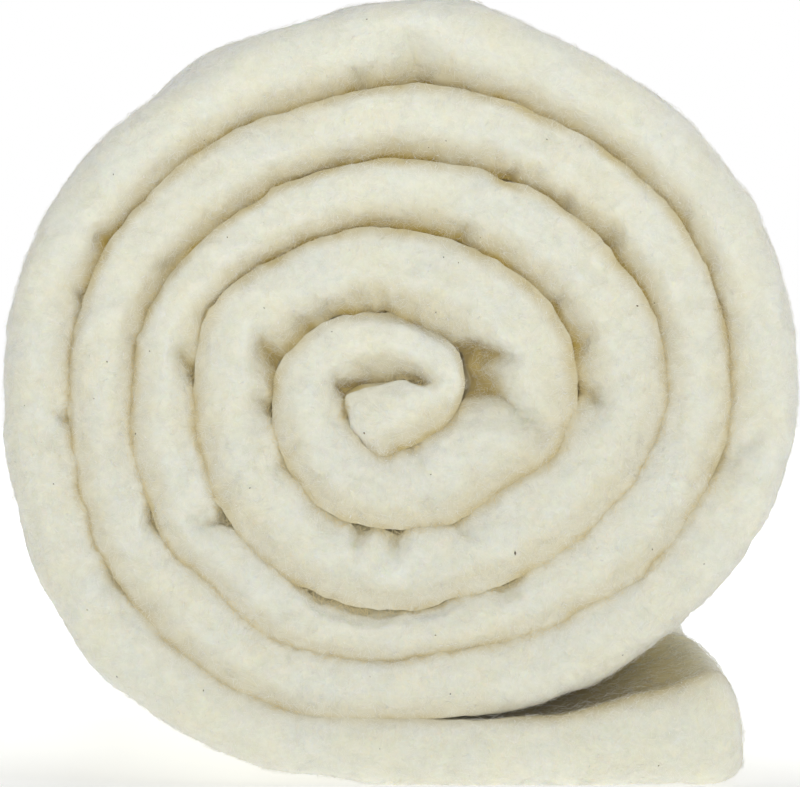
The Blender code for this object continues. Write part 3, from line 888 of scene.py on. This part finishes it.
def facing_pairs(count, slit_count, random):
    """Pairs of points that face each other across a seam, on the front edges' rims: the outer side
    of a station with the inner side of the station one turn further on. In the core's slit both
    are inner sides, so a point on the flap has the nearest point of the lip as its partner."""
    last = int(np.searchsorted(turned, turned[-1] - TURN_DEG - 60.0))
    here = random.integers(2, last, count)
    there = np.searchsorted(turned, turned[here] + TURN_DEG) + random.integers(-4, 5, count)
    start = points[here, FRONT_POINTS - random.integers(2, 7, count)]
    end = points[there, random.integers(2, 7, count)]
    flap = np.flatnonzero((turned > CORE_FLAP_FROM_DEG) & (turned < CORE_FLAP_TO_DEG))
    lip = np.flatnonzero((turned > CORE_LIP_FROM_DEG) & (turned < CORE_LIP_TO_DEG))
    chosen = random.choice(flap, slit_count)
    apart = np.linalg.norm(points[chosen, None, 0] - points[None, lip, 0], axis=-1)
    nearby = lip[apart.argmin(axis=1)] + random.integers(-4, 5, slit_count)
    partner = np.clip(nearby, 0, len(turned) - 1)
    start = np.vstack([start, points[chosen, random.integers(2, 7, slit_count)]])
    end = np.vstack([end, points[partner, random.integers(2, 7, slit_count)]])
    short = np.linalg.norm(end - start, axis=1) < LONGEST_BRIDGE
    return start[short], end[short]


def bridges(count, slit_count, lift, radius, seed):
    """Fibres across the seams: from one rim to the other, with two points between that wander
    sideways and rise or sink by a random share of the lift."""
    random = np.random.default_rng(seed)
    start, end = facing_pairs(count, slit_count, random)
    count = len(start)
    along = end - start
    side = unit(np.cross(along, np.array([0.0, 1.0, 0.0])))
    wander = side * random.normal(0.0, 0.0006, (count, 1))
    rise = lift * random.uniform(-1.0, 1.0, (count, 2, 1)).transpose(1, 0, 2) * [0.0, -1.0, 0.0]
    first, second = start + along / 3 + wander + rise[0], start + along * 2 / 3 + wander + rise[1]
    start, end = start + [0.0, ROOT_DEPTH, 0.0], end + [0.0, ROOT_DEPTH, 0.0]
    return spindles(start, first, second, end, radius * random.uniform(0.5, 1.5, count))


def loose_cotton_fibre(name, low, high):
    """Single cotton fibres: paler than the sheet, so that they show on it as fine bright lines."""
    material, tree, shader = new_material(name)
    place = tree.nodes.new("ShaderNodeTexCoord").outputs["Object"]
    spread = add_node(tree, "ShaderNodeTexNoise", Vector=place, Scale=1 / 0.015, Detail=2.0)
    shares, mix = spread.outputs["Fac"], {"data_type": "RGBA"}
    colour = add_node(tree, "ShaderNodeMix", mix, i0=shares, i6=linear(low), i7=linear(high))
    tree.links.new(colour.outputs["Result"], shader.inputs["Base Color"])
    shader.inputs["Roughness"].default_value = 0.7
    shader.inputs["Specular IOR Level"].default_value = 0.3
    return material


fibre_cotton = loose_cotton_fibre("loose_cotton_fibre", "#FDFCF6", "#F8F4E6")
# The fibres across the seams are tan: painted seam shade, like the sheet's there.
shaded_cotton = loose_cotton_fibre("loose_cotton_fibre_seam_shade", "#F3E6BC", "#EAD69C")
TAIL_FUZZ_REACH = 0.30
FLOOR_GAP = 0.00002
areas = cell_areas()
showing = np.minimum(exposed[1:], exposed[:-1])
front_cells = areas * showing * on_front
back_cells = areas * showing * on_back
cover_cells = areas * (showing > 0.9) * (on_cover | on_lining)
seam_cells = areas * on_front * ((from_middle > 0.55) & (from_middle < 0.93))
tail_top = inner_open[1:] * on_lining * (ring_y[1:] < -HALF + TAIL_FUZZ_REACH)

FUZZ = (
    # name, cells, fibres, length, lift, radius, seed
    ("front_fuzz", front_cells, 14000, 0.0024, 0.00014, 0.000026, 101),
    ("front_wisps", front_cells, 6000, 0.0050, 0.00040, 0.000024, 102),
    ("seam_wisps", seam_cells, 7500, 0.0034, 0.00060, 0.000028, 103),
    ("tail_fuzz", areas * tail_top, 3000, 0.0030, 0.00050, 0.000034, 107),
    ("cover_fuzz", cover_cells, 10000, 0.0062, 0.00045, 0.000045, 104),
    ("back_fuzz", back_cells, 3500, 0.0036, 0.00022, 0.000034, 105),
    ("front_neps", front_cells, 1400, 0.0009, 0.00010, 0.000110, 106),
)
fuzz_pieces = []


def fibre_piece(name, fibre_points, fibre_faces, material):
    """One mesh of many fibres, kept above the floor, with its faces turned outward."""
    fibre_points[:, 2] = np.maximum(fibre_points[:, 2], FLOOR_GAP)
    if signed_volume(fibre_points, fibre_faces.tolist()) < 0:
        fibre_faces = fibre_faces[:, ::-1]
    fuzz_pieces.append(mesh_piece(name, fibre_points, fibre_faces.tolist(), material))
    print(f"{name}: {len(fibre_faces)} triangles")


for name, cells, count, length, lift, radius, seed in FUZZ:
    fibre_piece(name, *fuzz(cells, count, length, lift, radius, seed), fibre_cotton)
fibre_piece("seam_bridges", *bridges(11000, 600, 0.0005, 0.000032, 108), shaded_cotton)

# %% [markdown]
# ## Flecks of husk
# Natural cotton is cleaned but not bleached, so crumbs of seed husk stay in it. They are dark
# brown, mostly under half a millimetre, and the few larger ones catch the eye. Each fleck is a
# small flattened crystal shape pressed into the surface.

# %% Place the flecks
FRONT_FLECKS = (
    # right of and above the spiral's middle in mm, and size in mm
    (27.1, -33.5, 1.15), (-5.7, 84.5, 0.5), (-61.1, 49.4, 0.5), (-62.6, 9.0, 0.5),
    (-27.8, 20.9, 0.45), (-53.4, 11.2, 0.45), (-65.3, 0.9, 0.4), (-41.5, 57.1, 0.5),
    (33.7, 57.6, 0.45), (12.3, 57.8, 0.4), (8.4, 56.2, 0.4), (11.9, 31.8, 0.45),
    (15.0, 30.9, 0.4), (35.7, 23.6, 0.5), (58.0, 21.6, 0.45), (19.0, 36.2, 0.4),
    (9.9, 19.8, 0.4), (-74.3, -18.7, 0.45), (-67.0, -45.4, 0.5), (-60.6, -60.2, 0.55),
    (-41.2, -63.3, 0.5), (-5.7, -6.4, 0.6), (-31.1, -18.5, 0.45), (8.6, -16.3, 0.4),
    (57.1, -31.8, 0.5), (68.6, -35.3, 0.45), (51.2, -55.1, 0.5), (52.9, -61.7, 0.45),
    (9.3, -51.4, 0.5), (58.9, -79.8, 0.45),
)
SCATTERED_FLECKS = 150
SCATTERED_FROM, SCATTERED_TO = 0.00025, 0.0006
# The flecks in the table lie no further than this behind the roll's front.
ON_THE_TIPS = 0.0045
FLECK = np.array([(1, 0, 0), (-1, 0, 0), (0, 1, 0), (0, -1, 0), (0, 0, 1), (0, 0, -1)], float)
FLECK_FACES = np.array(
    [(0, 2, 4), (2, 1, 4), (1, 3, 4), (3, 0, 4), (2, 0, 5), (1, 2, 5), (3, 1, 5), (0, 3, 5)]
)


def cotton_seed_husk():
    """Crumbs of cotton seed husk: dark brown and dull."""
    material, tree, shader = new_material("cotton_seed_husk")
    place = tree.nodes.new("ShaderNodeTexCoord").outputs["Object"]
    spread = add_node(tree, "ShaderNodeTexNoise", Vector=place, Scale=1 / 0.004, Detail=2.0)
    shares, dark, light = spread.outputs["Fac"], linear("#4A3A26"), linear("#8A7650")
    mix = {"data_type": "RGBA"}
    colour = add_node(tree, "ShaderNodeMix", mix, i0=shares, i6=dark, i7=light)
    tree.links.new(colour.outputs["Result"], shader.inputs["Base Color"])
    shader.inputs["Roughness"].default_value = 0.7
    return material


def flecks():
    """Places each fleck on the front edge's point nearest to it as seen from the front, and the
    scattered ones anywhere that shows. A fleck's shape is an octahedron stretched to half its size
    by a quarter by a tenth, turned at random about the surface's normal."""
    random = np.random.default_rng(77)
    front = points[:, :FRONT_POINTS].reshape(-1, 3)
    front_normals = normals[:, :FRONT_POINTS].reshape(-1, 3)
    in_front = front[:, 1] < -HALF + ON_THE_TIPS
    table = np.array(FRONT_FLECKS) * TABLE_UNIT
    wanted = table[:, :2] + np.array([SPIRAL_X, CENTRE_HEIGHT])
    away = np.linalg.norm(front[None, in_front][..., [0, 2]] - wanted[:, None], axis=-1)
    nearest = np.flatnonzero(in_front)[away.argmin(axis=1)]
    at, normal, _, _ = scattered_places(areas * (showing > 0.6), SCATTERED_FLECKS, random)
    at = np.vstack([front[nearest], at])
    normal = np.vstack([front_normals[nearest], normal])
    scattered = random.uniform(SCATTERED_FROM, SCATTERED_TO, SCATTERED_FLECKS)
    size = np.concatenate([table[:, 2], scattered])
    along = unit(np.cross(normal, random.normal(size=normal.shape)))
    side = np.cross(normal, along)
    long, wide, thick = size * 0.5, size * random.uniform(0.18, 0.36, len(size)), size * 0.12
    shape = FLECK[None] * np.stack([long, wide, thick], axis=1)[:, None]
    turned_shape = (
        shape[..., :1] * along[:, None]
        + shape[..., 1:2] * side[:, None]
        + shape[..., 2:] * normal[:, None]
    )
    vertices = (at + normal * 0.00006)[:, None] + turned_shape
    corners = FLECK_FACES[None] + (np.arange(len(at)) * 6)[:, None, None]
    return vertices.reshape(-1, 3), corners.reshape(-1, 3)


fleck_points, fleck_faces = flecks()
if signed_volume(fleck_points, fleck_faces.tolist()) < 0:
    fleck_faces = fleck_faces[:, ::-1]
husk = mesh_piece("husk_flecks", fleck_points, fleck_faces.tolist(), cotton_seed_husk())
print(f"{len(fleck_points) // 6} flecks")

# %% [markdown]
# ## Tie the pieces to the imported model
# The sheet stands for the imported solid, and everything else lies on it.

# %% Ride and replace
for piece in [sheet, husk, *fuzz_pieces]:
    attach(piece, "root")
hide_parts("batting")

# %% [markdown]
# ## Floor, light and camera
# The roll was photographed straight on in soft, even light on white. The floor is pale and very
# large, so no edge of it shows from any side. A softbox high on the right gives the roll its
# gentle shading, and one low in front and the bright surroundings fill the rest. Four more, one
# overhead and one each on the left, the right and behind, light the sides that the photograph
# doesn't show. The camera is level, at the height of the roll's middle, and over a metre away,
# which keeps the perspective weak.

# %% Floor
HALF_FLOOR = 12.0
FLOOR_CORNERS = ((-1, -1), (1, -1), (1, 1), (-1, 1))
floor_points = np.array([(x * HALF_FLOOR, y * HALF_FLOOR, -FLOOR_GAP) for x, y in FLOOR_CORNERS])
floor_material, floor_tree, floor_shader = new_material("glowing_white_floor")
floor_shader.inputs["Base Color"].default_value = linear("#D2D2D0")
floor_shader.inputs["Roughness"].default_value = 0.9
floor_shader.inputs["Specular IOR Level"].default_value = 0.1
floor_shader.inputs["Emission Color"].default_value = (1.0, 1.0, 1.0, 1.0)
floor_place = floor_tree.nodes.new("ShaderNodeTexCoord").outputs["Object"]
floor_y = add_node(floor_tree, "ShaderNodeSeparateXYZ", Vector=floor_place).outputs["Y"]
floor_away = add_node(
    floor_tree, "ShaderNodeVectorMath", {"operation": "LENGTH"}, i0=floor_place
).outputs["Value"]


# The floor glows white like the photograph's background. The glow is painted light, and it also
# lights the roll, though the floor is no lamp. It is on from the roll's front towards the back,
# where the camera sees the floor behind the roll, and in a ring round the roll. Each glow grows by
# a smooth step, from 0 at start to its strength at end.
glows = []
for value, start, end, strength in (
    (floor_y, -0.75, -0.10, 0.60),
    (floor_y, -0.30, 1.20, 0.55),
    (floor_away, 0.30, 1.00, 1.0),
):
    smooth = {"interpolation_type": "SMOOTHSTEP"}
    grown = add_node(
        floor_tree, "ShaderNodeMapRange", smooth, i0=value, i1=start, i2=end, i3=0.0, i4=strength
    )
    glows.append(grown.outputs["Result"])
near_glow, far_glow, ring_glow = glows
behind_glow = add_node(floor_tree, "ShaderNodeMath", i0=near_glow, i1=far_glow).outputs["Value"]
floor_glow = add_node(
    floor_tree, "ShaderNodeMath", {"operation": "MAXIMUM"}, i0=behind_glow, i1=ring_glow
)
floor_tree.links.new(floor_glow.outputs["Value"], floor_shader.inputs["Emission Strength"])
floor = mesh_piece("floor", floor_points, [(0, 1, 2, 3)], floor_material)
floor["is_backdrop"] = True

# %% Light
world = bpy.data.worlds.new("white_surroundings")
world.use_nodes = True
world_tree = world.node_tree
world_tree.nodes.clear()
seen = add_node(world_tree, "ShaderNodeBackground", Color=(1.0, 1.0, 1.0, 1.0), Strength=1.0)
shining = add_node(
    world_tree, "ShaderNodeBackground", Color=(1.0, 0.985, 0.91, 1.0), Strength=0.192
)
straight = world_tree.nodes.new("ShaderNodeLightPath").outputs["Is Camera Ray"]
either = add_node(
    world_tree,
    "ShaderNodeMixShader",
    i0=straight,
    i1=shining.outputs["Background"],
    i2=seen.outputs["Background"],
)
add_node(world_tree, "ShaderNodeOutputWorld", Surface=either.outputs["Shader"])
bpy.context.scene.world = world


def softbox(name, place, target, width, watts):
    """A square area light at place that faces target, a little cooler than the surroundings."""
    light = bpy.data.lights.new(name, "AREA")
    light.shape, light.size, light.energy = "SQUARE", width, watts
    light.color = (0.99, 1.01, 1.07)
    lamp = bpy.data.objects.new(name, light)
    bpy.context.scene.collection.objects.link(lamp)
    away = unit(np.array(place) - np.array(target))
    side = unit(np.cross((0.0, 0.0, 1.0), away))
    up = np.cross(away, side)
    matrix = np.eye(4)
    matrix[:3, 0], matrix[:3, 1], matrix[:3, 2], matrix[:3, 3] = side, up, away, place
    lamp.matrix_world = matrix.T.tolist()
    return lamp


SOFTBOXES = (
    # name, place, target, width in metres, watts
    ("top_softbox", (0.62, -1.05, 1.40), (0.0, -0.25, 0.08), 0.8, 4.8),
    ("front_softbox", (0.00, -2.00, 0.16), (0.0, -0.25, 0.08), 0.4, 10.2),
    ("overhead_softbox", (0.00, 0.22, 1.50), (0.0, 0.12, 0.08), 0.8, 5.8),
    ("left_softbox", (-1.50, 0.80, 0.60), (0.0, 0.0, 0.08), 0.8, 4.5),
    ("right_softbox", (1.50, 0.80, 0.60), (0.0, 0.0, 0.08), 0.8, 4.5),
    ("back_softbox", (0.00, 1.90, 0.60), (0.0, 0.0, 0.08), 0.8, 4.0),
)
for row in SOFTBOXES:
    softbox(*row)
bpy.context.scene.view_settings.view_transform = "Standard"

# %% Camera
PHOTO_WIDTH_M = 0.1764
CAMERA_AWAY = 1.2
SENSOR_MM = 36.0
# How far the middle of the photograph is right of and above the spiral's middle.
PHOTO_RIGHT, PHOTO_ABOVE = 0.00176, 0.00187
camera_data = bpy.data.cameras.new("front_camera")
camera_data.sensor_width = SENSOR_MM
camera_data.lens = SENSOR_MM * CAMERA_AWAY / PHOTO_WIDTH_M
camera = bpy.data.objects.new("front_camera", camera_data)
bpy.context.scene.collection.objects.link(camera)
outline_y = -HALF + EDGE_ROUND * 0.7
camera.location = (SPIRAL_X + PHOTO_RIGHT, outline_y - CAMERA_AWAY, CENTRE_HEIGHT + PHOTO_ABOVE)
camera.rotation_euler = (math.radians(90.0), 0.0, 0.0)
bpy.context.scene.camera = camera

# %% Compare the sizes and finish
visual_box = [list(corner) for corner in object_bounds()]
for name, box in (("packed", packed_box), ("visual", visual_box)):
    print(name, [[round(v, 4) for v in corner] for corner in box])
